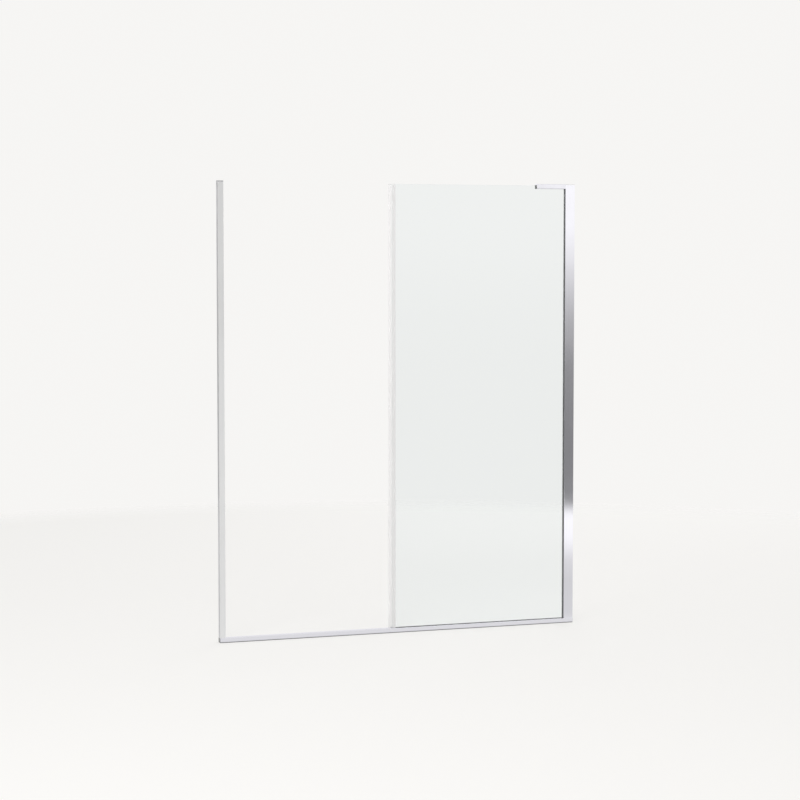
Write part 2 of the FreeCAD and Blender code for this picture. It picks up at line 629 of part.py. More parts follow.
def top_bar_end_plate():
    """Plate on the bar's free end, under its top wall and on both sides of the glass."""
    body = new_body("top_bar_end_plate", f"({MOUTH} - dim.bar_length)", "0", "dim.frame_height")
    section = sketch_on(body, "YZ_Plane", "end_plate_section")
    half = [
        (BAR_SIDE, "-dim.bar_top_wall"),
        (BAR_SIDE, minus(BAR_HEIGHT)),
        (LINER_SIDE, minus(BAR_HEIGHT)),
        (LINER_SIDE, "-(dim.bar_top_wall + dim.liner_wall)"),
    ]
    outline(section, end_section(half))
    plate = pad(body, section, "dim.end_plate")
    rounded(body, plate, "X", bar_edges(minus(BAR_HEIGHT)), "dim.bar_edge_radius")
    return body


def top_bar_liner():
    """Liner inside the bar that the glass bears on."""
    body = new_body("top_bar_liner", MOUTH, "0", "dim.frame_height")
    section = sketch_on(body, "YZ_Plane", "liner_section")
    half = [
        (LINER_SIDE, "-dim.bar_top_wall"),
        (LINER_SIDE, minus(BAR_HEIGHT)),
        (GLASS_FACE, minus(BAR_HEIGHT)),
        (GLASS_FACE, "-(dim.bar_top_wall + dim.liner_wall)"),
    ]
    outline(section, end_section(half))
    pad(body, section, "dim.bar_length - dim.end_plate", backwards=True)
    return body


def turned(body, name, corners):
    """Material turned about the body's Y axis from half a section."""
    half = sketch_on(body, "XY_Plane", f"{name}_half")
    outline(half, corners)
    feature = body.newObject("PartDesign::Revolution", f"{name}_turned")
    feature.Profile = half
    feature.ReferenceAxis = (half, ["V_Axis"])
    doc.recompute()
    return feature


def hexagon_socket(body, name, face):
    """Hexagon socket cut into the rear end of a screw that points to the front."""
    sketch = sketch_on(body, "XZ_Plane", f"{name}_socket", minus(face))
    corner = "(dim.socket_width / sqrt(3))"
    half = [
        (corner, "0"),
        (f"({corner} / 2)", "dim.socket_width / 2"),
        (f"(-{corner} / 2)", "dim.socket_width / 2"),
    ]
    outline(sketch, half + [(minus(across), minus(height)) for across, height in half])
    return pocket(body, sketch, "dim.socket_depth", along_normal=True)


def pan_head_screws(label, x, seat, z, shank, pitch, count):
    """Screws in a row up the channel's rear leg, with their heads seated on its outer side."""
    body = new_body(label, x, seat, z)
    thread = "(dim.screw_thread / 2)"
    head = "(dim.screw_head / 2)"
    corners = [
        ("0", minus(shank)),
        (thread, minus(shank)),
        (thread, "0"),
        (head, "0"),
        (head, "dim.screw_head_height"),
        ("0", "dim.screw_head_height"),
    ]
    screw = turned(body, label, corners)
    rim = [
        f"Edge{number}"
        for number, edge in enumerate(screw.Shape.Edges, start=1)
        if all(abs(vertex.Y - value("dim.screw_head_height")) < 1e-6 for vertex in edge.Vertexes)
        and edge.BoundBox.ZLength > value(head)
    ]
    fillet = body.newObject("PartDesign::Fillet", f"{label}_rim")
    fillet.Base = (screw, rim)
    fillet.setExpression("Radius", "dim.screw_head_radius")
    doc.recompute()
    hexagon_socket(body, label, "dim.screw_head_height")
    group_of(body, "Z_Axis", pitch, count)
    return body


def top_bar_fixing_screws():
    """Screws through the channel's rear leg into the bar's rear prong."""
    depth = f"({CHANNEL_SIDE} - {LINER_SIDE} - dim.screw_tip_gap)"
    first = f"({BAR_FOOT} + dim.fixing_margin)"
    line = f"({WALL} - {FIXING_LINE})"
    return pan_head_screws(
        "top_bar_fixing_screws", line, CHANNEL_SIDE, first, depth, FIXING_PITCH, PAIR_COUNT
    )


def top_bar_grub_screws():
    """Grub screws in the bar's rear wall that press the liner on the glass."""
    line = f"({MOUTH} - dim.bar_length + dim.grub_margin)"
    body = new_body("top_bar_grub_screws", line, "0", f"(dim.frame_height - {GRUB_DROP})")
    end = f"({BAR_SIDE} - dim.grub_recess)"
    radius = "(dim.grub_screw / 2)"
    turned(body, "grub", [("0", LINER_SIDE), (radius, LINER_SIDE), (radius, end), ("0", end)])
    hexagon_socket(body, "grub", end)
    group_of(body, "X_Axis", GRUB_PITCH, PAIR_COUNT)
    return body


def entry_jamb_base():
    """Channel on the entry side's wall, with beads on its legs that hold the cover."""
    body = new_body("entry_jamb_base", minus(WALL), "0", RAIL_TOP)
    section = sketch_on(body, "XY_Plane", "base_section")
    bead = "(dim.snap_ridge + dim.snap_ridge_width + dim.fit_gap)"
    leg_end = f"({bead} + dim.snap_bead_width)"
    bead_side = f"({COVER_INSIDE} - dim.fit_gap)"
    inside = f"({BASE_SIDE} - dim.jamb_wall)"
    half = [
        ("0", BASE_SIDE),
        (bead, BASE_SIDE),
        (bead, bead_side),
        (leg_end, bead_side),
        (leg_end, inside),
        ("dim.base_web", inside),
    ]
    outline(section, plan_section(half))
    pad(body, section, BASE_LENGTH)
    hole = sketch_on(body, "YZ_Plane", "base_wall_hole")
    circle(hole, "0", "dim.jamb_hole_margin", "dim.wall_hole")
    cut = pocket(body, hole, "dim.base_web", along_normal=True)
    row_of(body, cut, "Z_Axis", JAMB_HOLE_PITCH, WALL_HOLES)
    return body


def entry_jamb_cover():
    """Cover that snaps over the base and shows on the entry side."""
    body = new_body("entry_jamb_cover", minus(WALL), "0", RAIL_TOP)
    section = sketch_on(body, "XY_Plane", "cover_section")
    ridge_side = f"({COVER_INSIDE} - dim.snap_ridge_height)"
    ridge_end = "(dim.snap_ridge + dim.snap_ridge_width)"
    half = [
        ("dim.jamb_face", COVER_SIDE),
        ("dim.jamb_wall_gap", COVER_SIDE),
        ("dim.jamb_wall_gap", COVER_INSIDE),
        ("dim.snap_ridge", COVER_INSIDE),
        ("dim.snap_ridge", ridge_side),
        (ridge_end, ridge_side),
        (ridge_end, COVER_INSIDE),
        ("(dim.jamb_face - dim.jamb_wall)", COVER_INSIDE),
    ]
    outline(section, plan_section(half))
    extrusion = pad(body, section, COVER_LENGTH)
    rounded(body, extrusion, "Z", COVER_EDGES, "dim.jamb_edge_radius")
    return body


def entry_jamb_cap():
    """Cap on the cover's top end, plugged into it."""
    body = new_body("entry_jamb_cap", minus(WALL), "0", "dim.frame_height - dim.jamb_cap_height")
    plan = sketch_on(body, "XY_Plane", "jamb_cap_plan")
    rectangle(plan, "dim.jamb_wall_gap", minus(COVER_SIDE), "dim.jamb_face", COVER_SIDE)
    block = pad(body, plan, "dim.jamb_cap_height")
    rounded(body, block, "Z", COVER_EDGES, "dim.jamb_edge_radius")
    plug = sketch_on(body, "XY_Plane", "jamb_cap_plug_plan")
    end = "(dim.jamb_face - dim.jamb_wall - dim.fit_gap)"
    rectangle(plug, "dim.jamb_wall_gap", minus(BASE_SIDE), end, BASE_SIDE)
    pad(body, plug, "dim.jamb_cap_plug", backwards=True)
    return body


def glass_panel():
    """Glass with ground edges, from its free edge to the carrier."""
    body = new_body("glass_panel", FREE_EDGE, "0", GLASS_FOOT)
    face = sketch_on(body, "XZ_Plane", "glass_face")
    rectangle(face, "0", "0", GLASS_WIDTH, f"({GLASS_TOP} - {GLASS_FOOT})")
    sheet = pad(body, face, "dim.glass_thickness", both_ways=True)
    arris = body.newObject("PartDesign::Chamfer", "glass_arris")
    arris.Base = (sheet, [f"Edge{number}" for number in range(1, len(sheet.Shape.Edges) + 1)])
    arris.setExpression("Size", "dim.glass_arris")
    doc.recompute()
    return body


def edge_seal():
    """Clear seal that grips the free edge of the glass, with a leaning fin."""
    body = new_body("edge_seal", FREE_EDGE, "0", SEAL_FOOT)
    section = sketch_on(body, "XY_Plane", "seal_section")
    tip = "-(dim.seal_base + dim.seal_fin)"
    corners = [
        ("dim.seal_grip", GLASS_FACE),
        ("dim.seal_grip", SEAL_SIDE),
        ("-dim.seal_base", SEAL_SIDE),
        ("-dim.seal_base", "dim.seal_fin_root / 2"),
        (tip, "dim.seal_fin_lean + dim.seal_fin_tip / 2"),
        (tip, "dim.seal_fin_lean - dim.seal_fin_tip / 2"),
        ("-dim.seal_base", "-dim.seal_fin_root / 2"),
        ("-dim.seal_base", minus(SEAL_SIDE)),
        ("dim.seal_grip", minus(SEAL_SIDE)),
        ("dim.seal_grip", minus(GLASS_FACE)),
        ("0", minus(GLASS_FACE)),
        ("0", GLASS_FACE),
    ]
    outline(section, corners)
    pad(body, section, f"{GLASS_TOP} - {SEAL_FOOT}")
    return body


def channel_insert(label, outside, inside, back, web):
    """A U on the wall-side edge of the glass, inside the channel."""
    body = new_body(label, WALL, "0", f"({RAIL_TOP} + dim.carrier_end_gap)")
    section = sketch_on(body, "XY_Plane", f"{label}_section")
    half = [
        (minus(back), outside),
        (minus(CARRIER_FRONT), outside),
        (minus(CARRIER_FRONT), inside),
        (f"-({back} + {web})", inside),
    ]
    outline(section, plan_section(half))
    pad(body, section, CARRIER_LENGTH)
    return body


def glass_carrier():
    """Metal U that the lock screws hold."""
    return channel_insert(
        "glass_carrier", CARRIER_SIDE, CARRIER_INSIDE, CARRIER_BACK, "dim.carrier_wall"
    )


def carrier_liner():
    """Rubber U between the carrier and the glass."""
    back = f"({CARRIER_BACK} + dim.carrier_wall)"
    return channel_insert(
        "carrier_liner", CARRIER_INSIDE, GLASS_FACE, back, "dim.carrier_liner_wall"
    )


def lock_blocks():
    """Threaded blocks between the carrier and the channel's rear leg."""
    body = new_body("lock_blocks", f"({WALL} - {LOCK_LINE})", "0", LOCK_FIRST)
    face = sketch_on(body, "XZ_Plane", "lock_block_face", minus(CARRIER_SIDE))
    reach = f"(({CARRIER_FRONT} - {CARRIER_BACK}) / 2)"
    rise = "(dim.lock_block_height / 2)"
    rectangle(face, minus(reach), minus(rise), reach, rise)
    circle(face, "0", "0", THREADED_HOLE)
    pad(body, face, f"{CHANNEL_INSIDE} - dim.fit_gap - {CARRIER_SIDE}", backwards=True)
    group_of(body, "Z_Axis", LOCK_PITCH, LOCK_SCREWS)
    return body


def lock_washers():
    """Long washers that cover the slots in the channel's rear leg."""
    body = new_body("lock_washers", f"({WALL} - {LOCK_LINE})", "0", LOCK_FIRST)
    face = sketch_on(body, "XZ_Plane", "lock_washer_face", minus(CHANNEL_SIDE))
    slot(face, "0", "0", f"({LOCK_SLOT_LENGTH} + 2 * dim.washer_lap)", "dim.washer_width")
    circle(face, "0", "0", PLAIN_HOLE)
    pad(body, face, "dim.washer_thickness", backwards=True)
    group_of(body, "Z_Axis", LOCK_PITCH, LOCK_SCREWS)
    return body


def lock_screws():
    """Screws that clamp the carrier's blocks to the channel's rear leg."""
    seat = f"({CHANNEL_SIDE} + dim.washer_thickness)"
    depth = f"({seat} - {CARRIER_SIDE} - dim.screw_tip_gap)"
    line = f"({WALL} - {LOCK_LINE})"
    return pan_head_screws("lock_screws", line, seat, LOCK_FIRST, depth, LOCK_PITCH, LOCK_SCREWS)


def check(pieces):
    """Stop if anything failed, a cut removed nothing or a piece isn't sound."""
    for item in doc.Objects:
        if "Invalid" in item.State or "Error" in item.State:
            raise RuntimeError(f"{item.Name} failed: {item.State}")
    for cut in doc.findObjects("PartDesign::Pocket"):
        if cut.Shape.Volume > cut.BaseFeature.Shape.Volume - 1e-3:
            raise RuntimeError(f"{cut.Name} cuts nothing")
    for piece in pieces:
        if piece.Shape.isNull() or not piece.Shape.isValid() or not piece.Shape.Solids:
            raise RuntimeError(f"{piece.Label} has no sound solid")


def front(size):
    """A distance on the room's side of the glass."""
    return minus(size)


def rear(size):
    """A distance on the shower's side of the glass."""
    return size


pieces = [
    threshold_rail(),
    rail_sealing_tape(),
    rail_end_gaskets(),
    rail_infill_strip(),
    setting_blocks(),
    rail_gasket("rail_gasket_front", front, "dim.gasket_head"),
    rail_gasket("rail_gasket_rear", rear, "dim.rear_gasket_head"),
    wall_channel(),
    wall_channel_cap(),
    channel_gasket("channel_gasket_front", front, "dim.gasket_head"),
    channel_gasket("channel_gasket_rear", rear, "dim.rear_gasket_head"),
    top_bar(),
    top_bar_end_plate(),
    top_bar_liner(),
    top_bar_fixing_screws(),
    top_bar_grub_screws(),
    entry_jamb_base(),
    entry_jamb_cover(),
    entry_jamb_cap(),
    glass_panel(),
    edge_seal(),
    glass_carrier(),
    carrier_liner(),
    lock_blocks(),
    lock_washers(),
    lock_screws(),
]
doc.recompute()
check(pieces)
os.makedirs("parts", exist_ok=True)
for piece in pieces:
    piece.Shape.exportStep(f"parts/{piece.Label}.step")
    print(piece.Label, len(piece.Shape.Solids), "solids", round(piece.Shape.Volume), "mm3")
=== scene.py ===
"""Looks of a fixed shower panel: its soft pieces, finishes, stage and camera, in metres."""

import math

import bmesh
import bpy
import numpy as np
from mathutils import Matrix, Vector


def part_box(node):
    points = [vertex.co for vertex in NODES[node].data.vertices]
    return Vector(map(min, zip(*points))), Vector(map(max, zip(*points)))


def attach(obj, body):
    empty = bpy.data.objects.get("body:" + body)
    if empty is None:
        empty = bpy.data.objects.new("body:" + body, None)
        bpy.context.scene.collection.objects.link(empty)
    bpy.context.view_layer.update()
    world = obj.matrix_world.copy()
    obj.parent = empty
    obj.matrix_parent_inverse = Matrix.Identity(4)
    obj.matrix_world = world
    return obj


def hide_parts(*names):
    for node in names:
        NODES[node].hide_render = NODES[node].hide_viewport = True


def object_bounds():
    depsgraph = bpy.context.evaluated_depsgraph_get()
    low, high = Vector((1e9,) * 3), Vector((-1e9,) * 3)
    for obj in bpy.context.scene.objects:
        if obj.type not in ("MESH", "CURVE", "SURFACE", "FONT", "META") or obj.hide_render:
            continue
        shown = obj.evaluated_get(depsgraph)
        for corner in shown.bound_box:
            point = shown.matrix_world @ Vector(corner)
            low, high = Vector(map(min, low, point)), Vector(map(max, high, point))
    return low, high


bl_info = {
    "name": "Fixed shower panel",
    "version": (1, 0, 0),
    "blender": (4, 5, 0),
    "location": "View3D > Sidebar > Shower panel",
    "description": "Dresses the solids of a fixed shower panel with soft seals, finishes and light",
    "category": "Object",
}

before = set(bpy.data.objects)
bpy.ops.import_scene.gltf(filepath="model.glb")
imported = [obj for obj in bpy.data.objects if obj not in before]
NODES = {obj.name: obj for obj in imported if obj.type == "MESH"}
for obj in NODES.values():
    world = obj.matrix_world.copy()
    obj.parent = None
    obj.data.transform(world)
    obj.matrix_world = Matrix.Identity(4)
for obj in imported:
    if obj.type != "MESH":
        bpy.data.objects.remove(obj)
SOLID_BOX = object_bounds()
X = np.array([1.0, 0.0, 0.0])
Y = np.array([0.0, 1.0, 0.0])
Z = np.array([0.0, 0.0, 1.0])

# Soft meshes: the strongest bend that is shaded smooth, and how many points and rings they have
SMOOTH_BEND = math.radians(35)
CORNER_POINTS = 5
PAD_CORNER_POINTS = 7
FIN_POINTS = 14
TIP_POINTS = 9
CHANNEL_GASKET_RINGS = 90
RAIL_GASKET_RINGS = 60
SEAL_RINGS = 40
TAPE_RINGS = 240
PAD_RINGS = 9

# Roundings of a gasket's corners, from its edge on the glass round the stem and the lap to the hollow
GASKET_ROUNDINGS = (0.0001, 0.0003, 0.0003, 0.00012, 0.00015, 0.00015, 0.0002, 0.00045, 0.0014)

# Lengths of the two waves in a gasket's lip and in the tape's edge, and the lip's second phase
LIP_WAVES = (0.41, 0.27)
LIP_PHASE = 1.0
TAPE_WAVES = (0.19, 0.083)

# Drawn metal: lines per metre across and along a profile, and the depth of the lines
LINES_ACROSS = 1300.0
LINES_ALONG = 3.0
POLISHED_RELIEF = 0.000004
SATIN_RELIEF = 0.00001

# Range that most of a noise lies in
NOISE_RANGE = (0.3, 0.7)

# How squarely the glass faces front or rear where an arris gets pale, and where the clear face begins
PALE_ARRIS = (0.4, 0.65)
CLEAR_FACE = (0.8, 0.95)

# Colour sockets of a mix node
MIX_FIRST, MIX_SECOND, MIX_RESULT = 6, 7, 2

# Floor mesh: its depth under the part, the share of its radius that is one flat middle, and its grid
FLOOR_DEPTH = 0.0003
FLOOR_MIDDLE = 0.02
FLOOR_RINGS = 24
FLOOR_POINTS = 96

# Painted reflection: grey that the floor glows with only in reflections, by distance in front of the
# glass or behind it, darkest near the glass as a painted contact shadow
PAINTED_FLOOR_REFLECTION = (
    (0.0, 0.6), (0.03, 0.66), (0.06, 0.77), (0.24, 0.69), (1.08, 0.67),
    (1.71, 0.74), (2.25, 0.97), (2.64, 1.07), (3.2, 1.14),
)

# Grey of the sky in reflections, by the rise of the direction
SKY_LEVELS = (
    (-0.12, 0.255), (-0.075, 0.24), (-0.052, 0.285), (-0.03, 0.435), (-0.012, 0.685),
    (0.003, 0.95), (0.015, 1.04), (0.06, 1.04), (0.17, 0.9), (0.45, 0.78),
)


def corners_of(node):
    """Lowest and highest corner of a packed solid as two arrays."""
    low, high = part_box(node)
    return np.array(low), np.array(high)


RAIL_TOP = corners_of("threshold_rail")[1][2]
MOUTH = corners_of("wall_channel")[0][0]
GLASS_FACE = corners_of("glass_panel")[1][1]
GASKET_LOW, GASKET_HIGH = corners_of("rail_gasket_front")


def length(label, words, default):
    """A length property in metres."""
    return bpy.props.FloatProperty(
        name=label, description=words, default=default, unit="LENGTH", precision=5
    )


def share(label, words, default):
    """A property from nothing to all."""
    return bpy.props.FloatProperty(
        name=label, description=words, default=default, min=0.0, max=1.0, subtype="FACTOR"
    )


def strength(label, words, default):
    """A plain number above nothing."""
    return bpy.props.FloatProperty(name=label, description=words, default=default, min=0.0)


def colour(label, words, default):
    """A linear colour."""
    return bpy.props.FloatVectorProperty(
        name=label, description=words, default=default, size=3, min=0.0, max=1.0, subtype="COLOR"
    )


def position(label, words, default):
    """A point in metres."""
    return bpy.props.FloatVectorProperty(
        name=label, description=words, default=default, size=3, subtype="TRANSLATION", unit="LENGTH"
    )


def angle(label, words, degrees):
    """An angle, given here in degrees."""
    return bpy.props.FloatProperty(
        name=label, description=words, default=math.radians(degrees), subtype="ANGLE"
    )


class GasketSettings(bpy.types.PropertyGroup):
    """Glazing gaskets beside the glass."""

    head: length("Head", "Cover of a front gasket over the glass", GASKET_HIGH[2] - RAIL_TOP)
    rear_head: length("Rear head", "Cover of a rear gasket over the glass", 0.0005)
    stem: length("Stem", "Depth of a gasket in its groove", RAIL_TOP - GASKET_LOW[2])
    nose: length("Nose", "Thickness of the stem at its end", 0.0015)
    lap: length("Lap", "Edge of the lap from the middle of the glass", -GASKET_LOW[1])
    lap_wall: length("Lap wall", "Thickness of the lap", 0.0008)
    hollow: share("Hollow", "Height of the lip's hollow as a share of the cover", 0.62)
    hollow_side: length("Hollow side", "Hollow's distance from the side of the groove", 0.0009)
    groove: length("Groove", "Side of the groove from the middle of the glass", GLASS_FACE + 0.0035)
    lip_depth: length("Lip", "Depth of the channel's lip that the stem hooks behind", 0.0022)
    lip_hook: length("Lip hook", "Catch of the stem behind that lip", 0.0011)
    snap_depth: length("Snap", "Depth of the rail's snap groove below its top", 0.0053)
    snap_hook: length("Snap hook", "Catch of the stem in that groove", 0.0003)
    gap: length("Gap", "Hair gap between a gasket and the glass or metal beside it", 0.00005)
    sway: length("Sway", "Unevenness of the lip that was pushed in by hand", 0.00012)
    tint: colour("Colour", "Dark grey vinyl of the front gaskets", (0.105, 0.105, 0.108))
    rear_tint: colour("Rear colour", "Grey vinyl of the rear gaskets", (0.22, 0.22, 0.224))
    gloss: share("Roughness", "Roughness of the vinyl", 0.5)


class SealSettings(bpy.types.PropertyGroup):
    """Clear seal on the free edge of the glass."""

    grip: length("Grip", "Legs over the face of the glass", 0.0125)
    wall: length("Wall", "Thickness of the legs", 0.0013)
    base: length("Base", "Seal over the edge of the glass", 0.0015)
    bevel: length("Bevel", "Slope at the end of a leg", 0.0006)
    end_round: length("End rounding", "Rounding of a leg's end on the glass", 0.0002)
    bevel_round: length("Bevel rounding", "Rounding between a leg's slope and its side", 0.0004)
    shoulder: length("Shoulder", "Rounding between a leg and the base", 0.0016)
    fin: length("Fin", "Fin past the base", 0.0145)
    fin_root: length("Fin root", "Thickness of the fin at the base", 0.0018)
    fin_tip: length("Fin tip", "Thickness of the fin at its tip", 0.0008)
    lean: length("Lean", "Fin's tip behind the middle of the glass", 0.003)
    gap: length("Gap", "Hair gap between the seal and the glass", 0.00005)
    tint: colour("Fin colour", "Clear soft vinyl", (0.89, 0.887, 0.89))
    body_tint: colour("Body colour", "Thicker vinyl beside the glass", (0.825, 0.822, 0.825))
    clear: share("Fin clearness", "How much light goes through the fin", 0.35)
    body_clear: share("Body clearness", "How much light goes through the body", 0.2)
    gloss: share("Roughness", "Roughness of the vinyl", 0.22)


class FoamSettings(bpy.types.PropertyGroup):
    """Foam tape under the rail and foam pads at its ends."""

    edge: length("Edge", "Unevenness of the tape's cut edge", 0.0004)
    bulge: length("Bulge", "Rounding of the foam's edges", 0.00035)
    pad_corner: length("Pad corner", "Rounding of a pad's corners", 0.002)
    tint: colour("Colour", "Dark closed-cell foam", (0.11, 0.11, 0.113))
    pad_tint: colour("Pad colour", "Grey closed-cell foam", (0.45, 0.45, 0.455))


class MetalSettings(bpy.types.PropertyGroup):
    """Finishes of the profiles and of the fasteners."""

    bright: colour("Bright", "Polished profile", (0.93, 0.923, 0.973))
    bright_gloss: share("Bright roughness", "Roughness of the polished profile", 0.075)
    bar_gloss: share("Bar roughness", "Roughness of the bar over the glass", 0.16)
    satin: colour("Satin", "Satin profile", (0.955, 0.955, 0.95))
    satin_gloss: share("Satin roughness", "Roughness of the satin profile", 0.5)
    plain: colour("Plain", "Profile as it leaves the die", (0.78, 0.78, 0.79))
    plain_gloss: share("Plain roughness", "Roughness of the plain profile", 0.45)
    steel: colour("Steel", "Stainless screws and washers", (0.60, 0.59, 0.575))
    steel_gloss: share("Steel roughness", "Roughness of the steel", 0.26)


class GlassSettings(bpy.types.PropertyGroup):
    """Clear toughened glass."""

    tint: colour("Tint", "Colour through the faces", (0.9265, 0.952, 0.956))
    edge_tint: colour("Edge tint", "Colour of the polished edges", (0.44, 0.64, 0.585))
    edge_gloss: share("Edge roughness", "Roughness of the polished edges", 0.14)
    edge_clear: share("Edge clearness", "How much light goes through the polished edges", 0.2)
    index: strength("Index", "Refractive index", 1.5)


class PlasticSettings(bpy.types.PropertyGroup):
    """Moulded caps, plate, liner and blocks."""

    cap: colour("Channel cap", "Pale grey cap on the channel", (0.80, 0.80, 0.81))
    jamb_cap: colour("Jamb cap", "Grey cap on the jamb", (0.48, 0.48, 0.49))
    plate: colour("Plate", "Dark plate on the bar's end", (0.15, 0.15, 0.155))
    nylon: colour("Nylon", "Off-white liner and setting blocks", (0.80, 0.79, 0.76))
    gloss: share("Roughness", "Roughness of the mouldings", 0.42)


class StageSettings(bpy.types.PropertyGroup):
    """Floor, light and camera."""

    paper: colour("Background", "Pale floor and backdrop", (0.925, 0.917, 0.902))
    floor_reach: length("Floor", "Radius of the pale floor", 4.72)
    floor_edge: length("Floor edge", "Width of the floor's soft edge", 0.6)
    sky: strength("Sky", "Even light from all sides", 0.78)
    sky_tint: colour("Sky colour", "Slightly warm white of the even light", (1.0, 0.995, 0.985))
    key: strength("Key lamp", "Power of the large lamp in front", 120.0)
    key_place: position("Key place", "Where the lamp in front hangs", (-3.2, -4.6, 4.6))
    key_size: length("Key size", "Side of the lamp in front", 3.2)
    fill: strength("Fill lamp", "Power of the lamp behind", 45.0)
    fill_place: position("Fill place", "Where the lamp behind hangs", (3.4, 4.4, 3.8))
    fill_size: length("Fill size", "Side of the lamp behind", 3.0)
    camera_place: position("Camera", "Where the camera stands", (-2.728, -8.157, 1.541))
    camera_turn: angle("Turn", "Camera's turn to the right", 18.6)
    camera_drop: angle("Drop", "Camera's tilt below level", 3.76)
    lens: strength("Lens", "Focal length in millimetres on a 36 mm sensor", 95.1)
    shift: bpy.props.FloatVectorProperty(
        name="Shift", description="Shift of the picture", default=(-0.00525, -0.0065), size=2
    )


SETTINGS = {
    "panel_gaskets": GasketSettings,
    "panel_seal": SealSettings,
    "panel_foam": FoamSettings,
    "panel_metal": MetalSettings,
    "panel_glass": GlassSettings,
    "panel_plastic": PlasticSettings,
    "panel_stage": StageSettings,
}


def rounded(corners, reach, points=CORNER_POINTS):
    """A closed outline with curved corners.

    Each corner C becomes (1-t)^2 A + 2t(1-t) C + t^2 B, where A and B lie on its two sides at the
    corner's reach.
    """
    corners = np.asarray(corners, float)
    before = np.roll(corners, 1, axis=0) - corners
    after = np.roll(corners, -1, axis=0) - corners
    reach = np.asarray(reach, float)[:, None]
    start = corners + reach * before / np.linalg.norm(before, axis=1, keepdims=True)
    end = corners + reach * after / np.linalg.norm(after, axis=1, keepdims=True)
    t = np.linspace(0.0, 1.0, points)[None, :, None]
    curve = (1 - t) ** 2 * start[:, None] + 2 * t * (1 - t) * corners[:, None] + t**2 * end[:, None]
    return curve.reshape(-1, 2)


def end_outline(low, high, rounding, points=CORNER_POINTS):
    """A box seen along X as a closed outline (y, z) with its four corners rounded alike."""
    corners = [(low[1], low[2]), (high[1], low[2]), (high[1], high[2]), (low[1], high[2])]
    return rounded(corners, np.full(4, rounding), points)


def waves(stations, lengths, phase=0.0):
    """Mean of two sines along a path, with a wave length each and a phase on the second one."""
    first, second = lengths
    along = 2 * np.pi * stations
    return 0.5 * (np.sin(along / first) + np.sin(along / second + phase))


def carried(outlines, stations, along, first, second, origin=(0.0, 0.0, 0.0)):
    """Points of an outline carried along a straight path: origin + s along + u first + v second.

    outlines has one outline (u, v) for each station s, or one for all of them.
    """
    outlines = np.broadcast_to(outlines, (len(stations),) + np.shape(outlines)[-2:])
    return (
        np.asarray(origin, float)
        + stations[:, None, None] * along
        + outlines[:, :, :1] * first
        + outlines[:, :, 1:] * second
    )


def ring_quads(rings, around):
    """Corner numbers of the quads between neighbouring rings of points, each ring closed."""
    row = np.arange(rings - 1)[:, None] * around
    here = np.arange(around)[None, :]
    following = (here + 1) % around
    quads = [row + here, row + following, row + around + following, row + around + here]
    return np.stack(quads, axis=-1).reshape(-1, 4)


def tube_mesh(name, rings):
    """A closed mesh from rings of points: quads between neighbours and a flat face at each end."""
    count, around = rings.shape[:2]
    ends = [list(range(around))[::-1], list(range((count - 1) * around, count * around))]
    faces = ring_quads(count, around).tolist() + ends
    mesh = bpy.data.meshes.new(name)
    mesh.from_pydata(rings.reshape(-1, 3).tolist(), [], faces)
    work = bmesh.new()
    work.from_mesh(mesh)
    bmesh.ops.recalc_face_normals(work, faces=work.faces)
    work.to_mesh(mesh)
    work.free()
    mesh.polygons.foreach_set("use_smooth", np.ones(len(mesh.polygons), bool))
    mesh.set_sharp_from_angle(angle=SMOOTH_BEND)
    return mesh


def add_piece(mesh, material, body, node):
    """A piece at the origin that rides on a body and stands for a packed solid."""
    mesh.materials.append(material)
    piece = bpy.data.objects.new(mesh.name, mesh)
    bpy.context.scene.collection.objects.link(piece)
    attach(piece, body)
    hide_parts(node)
    return piece


def dress(material, *names):
    """Give packed solids a material."""
    for name in names:
        NODES[name].data.materials.clear()
        NODES[name].data.materials.append(material)


def map_range(tree, value, start, end, low, high):
    """A value mapped from start and end to low and high, and held there outside them."""
    node = tree.nodes.new("ShaderNodeMapRange")
    sockets = {"From Min": start, "From Max": end, "To Min": low, "To Max": high}
    for socket, number in sockets.items():
        node.inputs[socket].default_value = number
    tree.links.new(value, node.inputs["Value"])
    return node.outputs["Result"]


def axis_part(tree, vector, axis):
    """One part of a vector: X, Y or Z."""
    node = tree.nodes.new("ShaderNodeSeparateXYZ")
    tree.links.new(vector, node.inputs["Vector"])
    return node.outputs[axis]


def unsigned(tree, value):
    """A value without its sign."""
    node = tree.nodes.new("ShaderNodeMath")
    node.operation = "ABSOLUTE"
    tree.links.new(value, node.inputs[0])
    return node.outputs[0]


def mixed(tree, factor, first, second):
    """A shader that goes from the first to the second while a factor goes from 0 to 1."""
    node = tree.nodes.new("ShaderNodeMixShader")
    if isinstance(factor, float):
        node.inputs["Fac"].default_value = factor
    else:
        tree.links.new(factor, node.inputs["Fac"])
    tree.links.new(first, node.inputs[1])
    tree.links.new(second, node.inputs[2])
    return node.outputs[0]


def by_ray(tree, lit, mirrored, seen):
    """One shader for light, one for reflections, and one for the camera, also through the glass."""
    path = tree.nodes.new("ShaderNodeLightPath")
    direct = tree.nodes.new("ShaderNodeMath")
    direct.operation = "MAXIMUM"
    tree.links.new(path.outputs["Is Camera Ray"], direct.inputs[0])
    tree.links.new(path.outputs["Is Transmission Ray"], direct.inputs[1])
    unseen = mixed(tree, path.outputs["Is Glossy Ray"], lit, mirrored)
    return mixed(tree, direct.outputs[0], unseen, seen)


def graded(tree, value, steps):
    """A grey that follows a value through steps of (value, level), in order and straight between."""
    start, end = steps[0][0], steps[-1][0]
    ramp = tree.nodes.new("ShaderNodeValToRGB")
    tree.links.new(map_range(tree, value, start, end, 0.0, 1.0), ramp.inputs[0])
    bands = ramp.color_ramp.elements
    for number, _ in steps[1:-1]:
        bands.new((number - start) / (end - start))
    for band, (_, level) in zip(bands, steps):
        band.color = (level, level, level, 1.0)
    return ramp.outputs["Color"]


